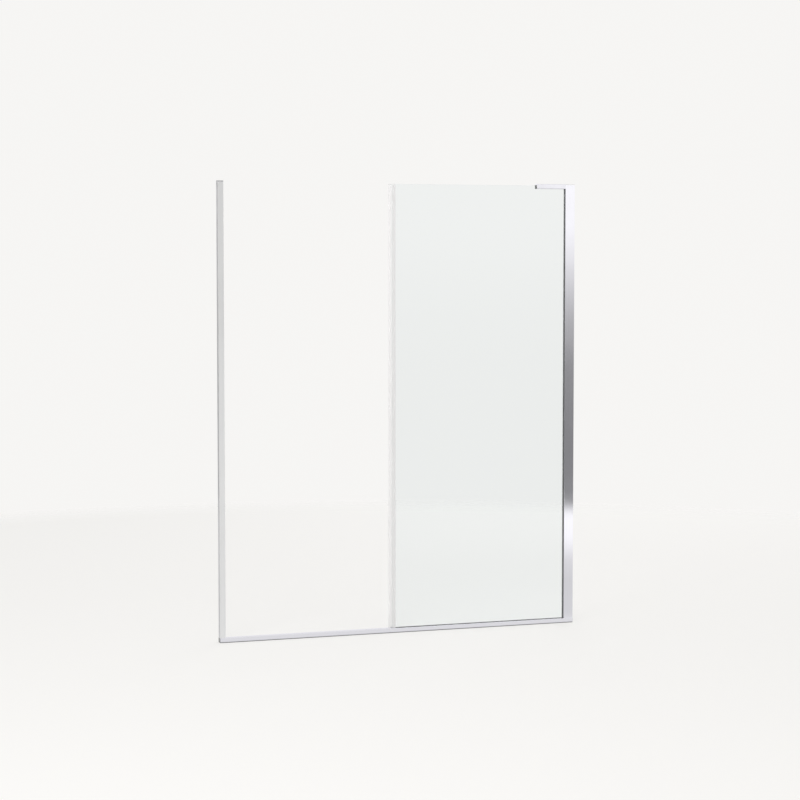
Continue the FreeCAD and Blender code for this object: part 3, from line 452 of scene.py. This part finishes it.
class Finish:
    """A node material with one main shader and patterns on object coordinates."""

    def __init__(self, name, base, roughness, metallic=0.0):
        self.material = bpy.data.materials.new(name)
        self.material.use_nodes = True
        self.tree = self.material.node_tree
        self.shader = next(n for n in self.tree.nodes if n.type == "BSDF_PRINCIPLED")
        self.base = base
        self.roughness = roughness
        self.set("Base Color", (*base, 1.0))
        self.set("Roughness", roughness)
        self.set("Metallic", metallic)

    def set(self, socket, value):
        """Set one of the shader's own sockets."""
        self.shader.inputs[socket].default_value = value

    def feed(self, socket, value):
        """Lead an output into one of the shader's own sockets."""
        self.link(value, self.shader.inputs[socket])

    def node(self, kind, **values):
        """A new node with some of its inputs set."""
        node = self.tree.nodes.new(kind)
        for name, value in values.items():
            node.inputs[name].default_value = value
        return node

    def link(self, start, end):
        """Join an output to an input."""
        self.tree.links.new(start, end)

    def place(self):
        """Object coordinates."""
        return self.node("ShaderNodeTexCoord").outputs["Object"]

    def noise(self, per_metre, detail):
        """Noise on object coordinates with so many features per metre, alike or for each axis."""
        stretch = self.node("ShaderNodeMapping", Scale=np.broadcast_to(per_metre, 3).tolist())
        texture = self.node("ShaderNodeTexNoise", Scale=1.0, Detail=detail, Roughness=0.5)
        self.link(self.place(), stretch.inputs["Vector"])
        self.link(stretch.outputs["Vector"], texture.inputs["Vector"])
        return texture.outputs["Fac"]

    def spread(self, value, low, high, within=NOISE_RANGE):
        """A value mapped from its usual range to another one."""
        return map_range(self.tree, value, *within, low, high)

    def two_tone(self, value, first, second):
        """A base colour that goes from one colour to another while a value goes from 0 to 1."""
        node = self.node("ShaderNodeMix")
        node.data_type = "RGBA"
        node.inputs[MIX_FIRST].default_value = (*first, 1.0)
        node.inputs[MIX_SECOND].default_value = (*second, 1.0)
        self.link(value, node.inputs["Factor"])
        self.feed("Base Color", node.outputs[MIX_RESULT])

    def vary_colour(self, value, amount):
        """The base colour, lighter and darker by an amount of itself."""
        light = [min(1.0, part * (1 + amount)) for part in self.base]
        dark = [part * (1 - amount) for part in self.base]
        self.two_tone(self.spread(value, 0.0, 1.0), dark, light)

    def vary_roughness(self, value, low, high):
        """The roughness between two shares of itself."""
        self.feed("Roughness", self.spread(value, self.roughness * low, self.roughness * high))

    def bump(self, value, depth, amount):
        """Relief of a depth in metres, by an amount of it."""
        node = self.node("ShaderNodeBump", Strength=amount, Distance=depth)
        self.link(value, node.inputs["Height"])
        self.feed("Normal", node.outputs["Normal"])


def profile_finish(name, base, roughness, lines, relief):
    """Drawn metal: fine lines along the profile in colour and relief, and slow changes of gloss."""
    finish = Finish(name, base, roughness, metallic=1.0)
    drawn = finish.noise(per_metre=lines, detail=4.0)
    slow = finish.noise(per_metre=9.0, detail=2.0)
    finish.vary_colour(drawn, amount=0.02)
    finish.vary_roughness(slow, low=0.8, high=1.25)
    finish.bump(drawn, depth=relief, amount=0.35)
    return finish.material


def moulded_finish(name, base, roughness):
    """Moulded plastic: a fine spark-eroded texture with slight flow clouds."""
    finish = Finish(name, base, roughness)
    finish.set("IOR", 1.49)
    grain = finish.noise(per_metre=2600.0, detail=2.0)
    flow = finish.noise(per_metre=60.0, detail=2.0)
    finish.vary_colour(flow, amount=0.04)
    finish.vary_roughness(grain, low=0.8, high=1.2)
    finish.bump(grain, depth=0.00004, amount=0.5)
    return finish.material


def vinyl_finish(name, base, roughness):
    """Extruded grey vinyl: dull bloom in patches and a fine tooth."""
    finish = Finish(name, base, roughness)
    finish.set("IOR", 1.5)
    finish.set("Specular IOR Level", 0.35)
    bloom = finish.noise(per_metre=45.0, detail=4.0)
    tooth = finish.noise(per_metre=3000.0, detail=2.0)
    finish.vary_colour(bloom, amount=0.12)
    finish.vary_roughness(bloom, low=0.85, high=1.2)
    finish.bump(tooth, depth=0.00003, amount=0.6)
    return finish.material


def foam_finish(name, base):
    """Closed-cell foam: small rounded cells in relief, paler in their middles."""
    finish = Finish(name, base, roughness=0.9)
    cells = finish.node("ShaderNodeTexVoronoi", Scale=1800.0)
    finish.link(finish.place(), cells.inputs["Vector"])
    outwards = cells.outputs["Distance"]
    dark, pale = NOISE_RANGE
    finish.vary_colour(finish.spread(outwards, pale, dark, within=(0.0, 0.6)), amount=0.25)
    finish.bump(outwards, depth=0.00012, amount=0.8)
    return finish.material


def clear_finish(name, settings, edge):
    """Clear soft vinyl: a milky body, a clearer fin, haze in patches and drawn lines along it."""
    finish = Finish(name, settings.tint, settings.gloss)
    finish.set("IOR", 1.45)
    across = axis_part(finish.tree, finish.place(), "X")
    root = edge - settings.base
    body = finish.spread(across, 0.0, 1.0, within=(root, edge))
    finish.two_tone(body, settings.tint, settings.body_tint)
    half_fin = (root - 0.5 * settings.fin, root)
    clear = finish.spread(across, settings.clear, settings.body_clear, within=half_fin)
    finish.feed("Transmission Weight", clear)
    lines = finish.noise(per_metre=(900.0, 900.0, 1.5), detail=3.0)
    haze = finish.noise(per_metre=12.0, detail=3.0)
    finish.vary_roughness(haze, low=0.92, high=1.1)
    finish.bump(lines, depth=0.000004, amount=0.1)
    return finish.material


def glass_finish(name, settings):
    """Clear glass: a faint cast, green edges, pale ground arrises and a roller wave in its faces."""
    finish = Finish(name, settings.tint, roughness=0.0)
    finish.set("IOR", settings.index)
    normal = finish.node("ShaderNodeNewGeometry").outputs["True Normal"]
    facing = unsigned(finish.tree, axis_part(finish.tree, normal, "Y"))
    pale = finish.spread(facing, 0.0, 1.0, within=PALE_ARRIS)
    finish.two_tone(pale, settings.edge_tint, settings.tint)
    finish.feed("Roughness", finish.spread(facing, settings.edge_gloss, 0.0, within=CLEAR_FACE))
    clear = finish.spread(facing, settings.edge_clear, 1.0, within=CLEAR_FACE)
    finish.feed("Transmission Weight", clear)
    wave = finish.noise(per_metre=(1.4, 1.0, 3.2), detail=1.0)
    finish.bump(wave, depth=0.0004, amount=0.06)
    return finish.material


def turned_finish(name, base, roughness):
    """Stainless steel fasteners: tumbled surface with fine scratches."""
    finish = Finish(name, base, roughness, metallic=1.0)
    scratch = finish.noise(per_metre=(1500.0, 400.0, 1500.0), detail=4.0)
    cloud = finish.noise(per_metre=160.0, detail=2.0)
    finish.vary_colour(cloud, amount=0.05)
    finish.vary_roughness(scratch, low=0.75, high=1.4)
    finish.bump(scratch, depth=0.00002, amount=0.4)
    return finish.material


def gasket_outline(settings, head, hook_depth, hook):
    """Section of a gasket as (out of the groove, away from the middle of the glass), both in metres.

    Its front is a soft hollow between a rounded lap on the metal and a feather edge on the glass.
    """
    gap, groove = settings.gap, settings.groove
    face = GLASS_FACE + gap
    corners = [
        (head, face),
        (-settings.stem, face),
        (-settings.stem, face + settings.nose),
        (-hook_depth, groove + hook),
        (-hook_depth, groove - gap),
        (gap, groove - gap),
        (gap, settings.lap),
        (settings.lap_wall, settings.lap),
        (head * settings.hollow, groove - settings.hollow_side),
    ]
    return rounded(corners, GASKET_ROUNDINGS)


def swaying(outline, stations, head, amount):
    """One outline per station: the lip draws back by slow waves along the path.

    u' = u + a (u / head)^2 (w - 1) above the groove, where w is the mean of two sines.
    """
    wave = waves(stations, LIP_WAVES, LIP_PHASE)
    weight = np.clip(outline[:, 0] / head, 0.0, 1.0) ** 2
    moved = np.repeat(outline[None], len(stations), axis=0)
    moved[:, :, 0] += amount * (wave[:, None] - 1.0) * weight[None, :]
    return moved


class PANEL_OT_gaskets(bpy.types.Operator):
    """Two dark and two grey glazing gaskets beside the glass, in the rail and in the channel"""

    bl_idname = "panel.gaskets"
    bl_label = "Glazing gaskets"

    def execute(self, context):
        settings = context.scene.panel_gaskets
        dark = vinyl_finish("dark_vinyl", settings.tint, settings.gloss)
        grey = vinyl_finish("grey_vinyl", settings.rear_tint, settings.gloss)
        for place, side, head, vinyl in (
            ("front", -Y, settings.head, dark),
            ("rear", Y, settings.rear_head, grey),
        ):
            node = f"channel_gasket_{place}"
            low, high = corners_of(node)
            outline = gasket_outline(settings, head, settings.lip_depth, settings.lip_hook)
            stations = np.linspace(low[2], high[2], CHANNEL_GASKET_RINGS)
            outlines = swaying(outline, stations, head, settings.sway)
            self.add(node, carried(outlines, stations, Z, -X, side, MOUTH * X), vinyl)
            node = f"rail_gasket_{place}"
            low, high = corners_of(node)
            outline = gasket_outline(settings, head, settings.snap_depth, settings.snap_hook)
            stations = np.linspace(low[0], high[0], RAIL_GASKET_RINGS)
            outlines = swaying(outline, stations, head, settings.sway)
            self.add(node, carried(outlines, stations, X, Z, side, RAIL_TOP * Z), vinyl)
        return {"FINISHED"}

    def add(self, node, rings, vinyl):
        """One gasket in place of its packed solid."""
        add_piece(tube_mesh(f"soft_{node}", rings), vinyl, "frame", node)


def seal_outline(settings):
    """Section of the clear seal as (x from the edge of the glass, y from its middle).

    The fin's middle line is y = lean t^2 for x = -base - (fin - tip / 2) t, and its half thickness
    falls evenly from root to tip, where it ends in a half circle.
    """
    face = GLASS_FACE + settings.gap
    side = GLASS_FACE + settings.wall
    t = np.linspace(0.0, 1.0, FIN_POINTS)
    half = 0.5 * (settings.fin_root + (settings.fin_tip - settings.fin_root) * t)
    along = -settings.base - (settings.fin - 0.5 * settings.fin_tip) * t
    middle = settings.lean * t**2
    turn = np.linspace(np.pi / 2, 3 * np.pi / 2, TIP_POINTS)[1:-1]
    tip = np.stack([along[-1] + half[-1] * np.cos(turn), middle[-1] + half[-1] * np.sin(turn)], 1)
    upper = np.stack([along, middle + half], axis=1)
    lower = np.stack([along, middle - half], axis=1)[::-1]
    corners = [
        (0.0, face),
        (settings.grip, face),
        (settings.grip - settings.bevel, side),
        (-settings.base, side),
        (-settings.base, half[0]),
    ]
    roundings = [0.0, settings.end_round, settings.bevel_round, settings.shoulder, 0.0]
    rear = rounded(corners, roundings)[CORNER_POINTS:-CORNER_POINTS]
    front = (rear * np.array([1.0, -1.0]))[::-1]
    inside = np.array([(0.0, -face), (0.0, face)])
    return np.concatenate([rear, upper, tip, lower, front, inside])


class PANEL_OT_seal(bpy.types.Operator):
    """Clear seal with a leaning fin on the free edge of the glass"""

    bl_idname = "panel.seal"
    bl_label = "Edge seal"

    def execute(self, context):
        settings = context.scene.panel_seal
        low, high = corners_of("edge_seal")
        edge = corners_of("glass_panel")[0][0]
        stations = np.linspace(low[2], high[2], SEAL_RINGS)
        rings = carried(seal_outline(settings), stations, Z, X, Y, edge * X)
        clear = clear_finish("clear_vinyl", settings, edge)
        mesh = tube_mesh("soft_edge_seal", rings)
        seal = add_piece(mesh, clear, "panel", "edge_seal")
        seal.visible_shadow = False
        return {"FINISHED"}


class PANEL_OT_foam(bpy.types.Operator):
    """Foam tape under the rail and foam pads at the rail's ends"""

    bl_idname = "panel.foam"
    bl_label = "Foam tape and pads"

    def execute(self, context):
        settings = context.scene.panel_foam
        self.tape(settings, foam_finish("dark_foam", settings.tint))
        self.pads(settings, foam_finish("grey_foam", settings.pad_tint))
        return {"FINISHED"}

    def tape(self, settings, foam):
        """A flat section with bulging edges and an uneven width.

        y' = y (1 - (1 + w) e / h), where w is the mean of two sines of x, e the unevenness and h the
        half width.
        """
        low, high = corners_of("rail_sealing_tape")
        outline = end_outline(low, high, settings.bulge)
        stations = np.linspace(low[0], high[0], TAPE_RINGS)
        wave = waves(stations, TAPE_WAVES)
        outlines = np.repeat(outline[None], len(stations), axis=0)
        outlines[:, :, 0] *= 1.0 - (1.0 + wave[:, None]) * settings.edge / high[1]
        mesh = tube_mesh("soft_rail_sealing_tape", carried(outlines, stations, X, Y, Z))
        add_piece(mesh, foam, "frame", "rail_sealing_tape")

    def pads(self, settings, foam):
        """Two pads: rings of a rounded outline that shrinks towards each face by a quarter circle."""
        low, high = corners_of("rail_end_gaskets")
        thick = high[0] - corners_of("threshold_rail")[1][0]
        outline = end_outline(low, high, settings.pad_corner, PAD_CORNER_POINTS)
        middle = 0.5 * (low[1:] + high[1:])
        half_size = 0.5 * (high[1:] - low[1:])
        turn = np.linspace(-np.pi / 2, np.pi / 2, PAD_RINGS)
        inset = settings.bulge * (1.0 - np.cos(turn))
        scale = 1.0 - inset[:, None] / half_size[None, :]
        outlines = middle + (outline[None] - middle) * scale[:, None, :]
        meshes = []
        for start in (low[0], high[0] - thick):
            stations = start + thick * 0.5 * (1.0 + np.sin(turn))
            rings = carried(outlines, stations, X, Y, Z)
            meshes.append(tube_mesh("soft_rail_end_pads", rings))
        both = bmesh.new()
        for mesh in meshes:
            both.from_mesh(mesh)
        both.to_mesh(meshes[0])
        both.free()
        bpy.data.meshes.remove(meshes[1])
        add_piece(meshes[0], foam, "frame", "rail_end_gaskets")


class PANEL_OT_profiles(bpy.types.Operator):
    """Finishes of the rail, channel, bar, jamb and carrier"""

    bl_idname = "panel.profiles"
    bl_label = "Metal profiles"

    def execute(self, context):
        metal = context.scene.panel_metal
        level = (LINES_ALONG, LINES_ACROSS, LINES_ACROSS)
        upright = (LINES_ACROSS, LINES_ACROSS, LINES_ALONG)
        bright = (metal.bright, metal.bright_gloss)
        bright_bar = (metal.bright, metal.bar_gloss)
        satin = (metal.satin, metal.satin_gloss)
        plain = (metal.plain, metal.plain_gloss)
        rail = profile_finish("bright_rail", *bright, level, POLISHED_RELIEF)
        bar = profile_finish("bright_bar", *bright_bar, level, POLISHED_RELIEF)
        channel = profile_finish("bright_channel", *bright, upright, POLISHED_RELIEF)
        jamb = profile_finish("satin_jamb", *satin, upright, SATIN_RELIEF)
        inner = profile_finish("plain_profile", *plain, upright, SATIN_RELIEF)
        dress(rail, "threshold_rail", "rail_infill_strip")
        dress(bar, "top_bar")
        dress(channel, "wall_channel")
        dress(jamb, "entry_jamb_cover")
        dress(inner, "entry_jamb_base", "glass_carrier")
        return {"FINISHED"}


class PANEL_OT_fasteners(bpy.types.Operator):
    """Finish of the screws, washers and lock blocks"""

    bl_idname = "panel.fasteners"
    bl_label = "Fasteners"

    def execute(self, context):
        metal = context.scene.panel_metal
        steel = turned_finish("stainless_steel", metal.steel, metal.steel_gloss)
        dress(steel, "top_bar_fixing_screws", "top_bar_grub_screws")
        dress(steel, "lock_screws", "lock_washers", "lock_blocks")
        return {"FINISHED"}


class PANEL_OT_glass(bpy.types.Operator):
    """Finish of the glass panel"""

    bl_idname = "panel.glass"
    bl_label = "Glass"

    def execute(self, context):
        dress(glass_finish("clear_glass", context.scene.panel_glass), "glass_panel")
        NODES["glass_panel"].visible_shadow = False
        return {"FINISHED"}


class PANEL_OT_mouldings(bpy.types.Operator):
    """Finishes of the caps, end plate, liners and setting blocks"""

    bl_idname = "panel.mouldings"
    bl_label = "Mouldings"

    def execute(self, context):
        plastic = context.scene.panel_plastic
        gasket = context.scene.panel_gaskets
        dress(moulded_finish("pale_cap", plastic.cap, plastic.gloss), "wall_channel_cap")
        dress(moulded_finish("grey_cap", plastic.jamb_cap, plastic.gloss), "entry_jamb_cap")
        dress(moulded_finish("dark_plate", plastic.plate, plastic.gloss), "top_bar_end_plate")
        nylon = moulded_finish("white_nylon", plastic.nylon, plastic.gloss)
        dress(nylon, "setting_blocks", "top_bar_liner")
        dress(vinyl_finish("liner_rubber", gasket.tint, gasket.gloss), "carrier_liner")
        return {"FINISHED"}


class PANEL_OT_stage(bpy.types.Operator):
    """Pale floor, even light and the camera"""

    bl_idname = "panel.stage"
    bl_label = "Stage"

    def execute(self, context):
        settings = context.scene.panel_stage
        context.scene.view_settings.view_transform = "Standard"
        self.floor(settings)
        self.sky(context, settings)
        self.lamp("key_lamp", settings.key, settings.key_place, settings.key_size)
        self.lamp("fill_lamp", settings.fill, settings.fill_place, settings.fill_size)
        self.camera(context, settings)
        return {"FINISHED"}

    def floor(self, settings):
        """A round sheet just under the part: rings r (cos a, sin a) round one flat middle."""
        turn = np.linspace(0.0, 2 * np.pi, FLOOR_POINTS, endpoint=False)
        reach = np.linspace(FLOOR_MIDDLE, 1.0, FLOOR_RINGS)[:, None] * settings.floor_reach
        axes = np.broadcast_arrays(reach * np.cos(turn), reach * np.sin(turn), -FLOOR_DEPTH)
        points = np.stack(axes, axis=-1).reshape(-1, 3)
        facing_up = ring_quads(FLOOR_RINGS, FLOOR_POINTS)[:, ::-1]
        middle = list(range(FLOOR_POINTS))
        mesh = bpy.data.meshes.new("pale_floor")
        mesh.from_pydata(points.tolist(), [], facing_up.tolist() + [middle])
        mesh.materials.append(self.paper(settings))
        sheet = bpy.data.objects.new("pale_floor", mesh)
        bpy.context.scene.collection.objects.link(sheet)

    def paper(self, settings):
        """Pale floor: it takes shadows and shows the background's colour; in metal it shows a painted
        reflection that lightens outwards, darkest near the glass as a painted contact shadow.
        """
        finish = Finish("pale_floor", settings.paper, roughness=0.8)
        finish.set("Specular IOR Level", 0.0)
        tree = finish.tree
        place = finish.place()
        lit = finish.shader.outputs[0]
        aside = unsigned(tree, axis_part(tree, place, "Y"))
        # Painted reflection: a glow seen only in reflections, darkest near the glass as a painted
        # contact shadow
        mirrored = finish.node("ShaderNodeEmission")
        finish.link(graded(tree, aside, PAINTED_FLOOR_REFLECTION), mirrored.inputs["Color"])
        even = finish.node("ShaderNodeEmission", Color=(*settings.paper, 1.0), Strength=1.0)
        seen = mixed(tree, 0.5, lit, even.outputs[0])
        shown = by_ray(tree, lit, mirrored.outputs[0], seen)
        distance = finish.node("ShaderNodeVectorMath")
        distance.operation = "LENGTH"
        finish.link(place, distance.inputs[0])
        edge = (settings.floor_reach - settings.floor_edge, settings.floor_reach)
        soft_edge = finish.spread(distance.outputs["Value"], 0.0, 1.0, within=edge)
        clear = finish.node("ShaderNodeBsdfTransparent")
        faded = mixed(tree, soft_edge, shown, clear.outputs[0])
        output = next(node for node in tree.nodes if node.type == "OUTPUT_MATERIAL")
        finish.link(faded, output.inputs["Surface"])
        return finish.material

    def sky(self, context, settings):
        """White for the camera, even light for the part, and a dim far ground in reflections."""
        world = bpy.data.worlds.new("studio")
        context.scene.world = world
        world.use_nodes = True
        tree = world.node_tree
        tree.nodes.clear()
        direction = tree.nodes.new("ShaderNodeTexCoord").outputs["Generated"]
        even = tree.nodes.new("ShaderNodeBackground")
        even.inputs["Color"].default_value = (*settings.sky_tint, 1.0)
        even.inputs["Strength"].default_value = settings.sky
        mirrored = tree.nodes.new("ShaderNodeBackground")
        level = graded(tree, axis_part(tree, direction, "Z"), SKY_LEVELS)
        tree.links.new(level, mirrored.inputs["Color"])
        seen = tree.nodes.new("ShaderNodeBackground")
        seen.inputs["Color"].default_value = (*settings.paper, 1.0)
        shown = by_ray(tree, even.outputs[0], mirrored.outputs[0], seen.outputs[0])
        output = tree.nodes.new("ShaderNodeOutputWorld")
        tree.links.new(shown, output.inputs["Surface"])

    def lamp(self, name, power, place, size):
        """A large square lamp that points at the middle of the part."""
        light = bpy.data.lights.new(name, "AREA")
        light.energy = power
        light.size = size
        lamp = bpy.data.objects.new(name, light)
        middle = 0.5 * (SOLID_BOX[0] + SOLID_BOX[1])
        lamp.location = place
        lamp.rotation_euler = (middle - lamp.location).to_track_quat("-Z", "Y").to_euler()
        lamp.visible_glossy = False
        lamp.visible_camera = False
        bpy.context.scene.collection.objects.link(lamp)

    def camera(self, context, settings):
        """A level camera to the left of the part, tilted down a little."""
        view = bpy.data.cameras.new("photo_camera")
        view.sensor_width = 36.0
        view.lens = settings.lens
        view.shift_x, view.shift_y = settings.shift
        view.clip_start = 0.05
        view.clip_end = 100.0
        camera = bpy.data.objects.new("photo_camera", view)
        camera.location = settings.camera_place
        camera.rotation_euler = (math.pi / 2 - settings.camera_drop, 0.0, -settings.camera_turn)
        context.scene.collection.objects.link(camera)
        context.scene.camera = camera


OPERATORS = [
    PANEL_OT_gaskets,
    PANEL_OT_seal,
    PANEL_OT_foam,
    PANEL_OT_profiles,
    PANEL_OT_fasteners,
    PANEL_OT_glass,
    PANEL_OT_mouldings,
    PANEL_OT_stage,
]


class PANEL_PT_sidebar(bpy.types.Panel):
    """Lists the pieces of the shower panel"""

    bl_idname = "PANEL_PT_sidebar"
    bl_label = "Shower panel"
    bl_space_type = "VIEW_3D"
    bl_region_type = "UI"
    bl_category = "Shower panel"

    def draw(self, context):
        for operator in OPERATORS:
            self.layout.operator(operator.bl_idname)
        for name, settings in SETTINGS.items():
            box = self.layout.box()
            box.label(text=settings.__doc__)
            for field in settings.__annotations__:
                box.prop(getattr(context.scene, name), field)


def register():
    """Add the settings, operators and sidebar."""
    for cls in [*SETTINGS.values(), *OPERATORS, PANEL_PT_sidebar]:
        bpy.utils.register_class(cls)
    for name, settings in SETTINGS.items():
        setattr(bpy.types.Scene, name, bpy.props.PointerProperty(type=settings))


def unregister():
    """Take the settings, operators and sidebar away again."""
    for name in SETTINGS:
        delattr(bpy.types.Scene, name)
    for cls in [PANEL_PT_sidebar, *reversed(OPERATORS), *SETTINGS.values()]:
        bpy.utils.unregister_class(cls)


def main():
    register()
    bpy.ops.panel.gaskets()
    bpy.ops.panel.seal()
    bpy.ops.panel.foam()
    bpy.ops.panel.profiles()
    bpy.ops.panel.fasteners()
    bpy.ops.panel.glass()
    bpy.ops.panel.mouldings()
    bpy.ops.panel.stage()
    bpy.context.view_layer.update()


if __name__ == "__main__":
    main()
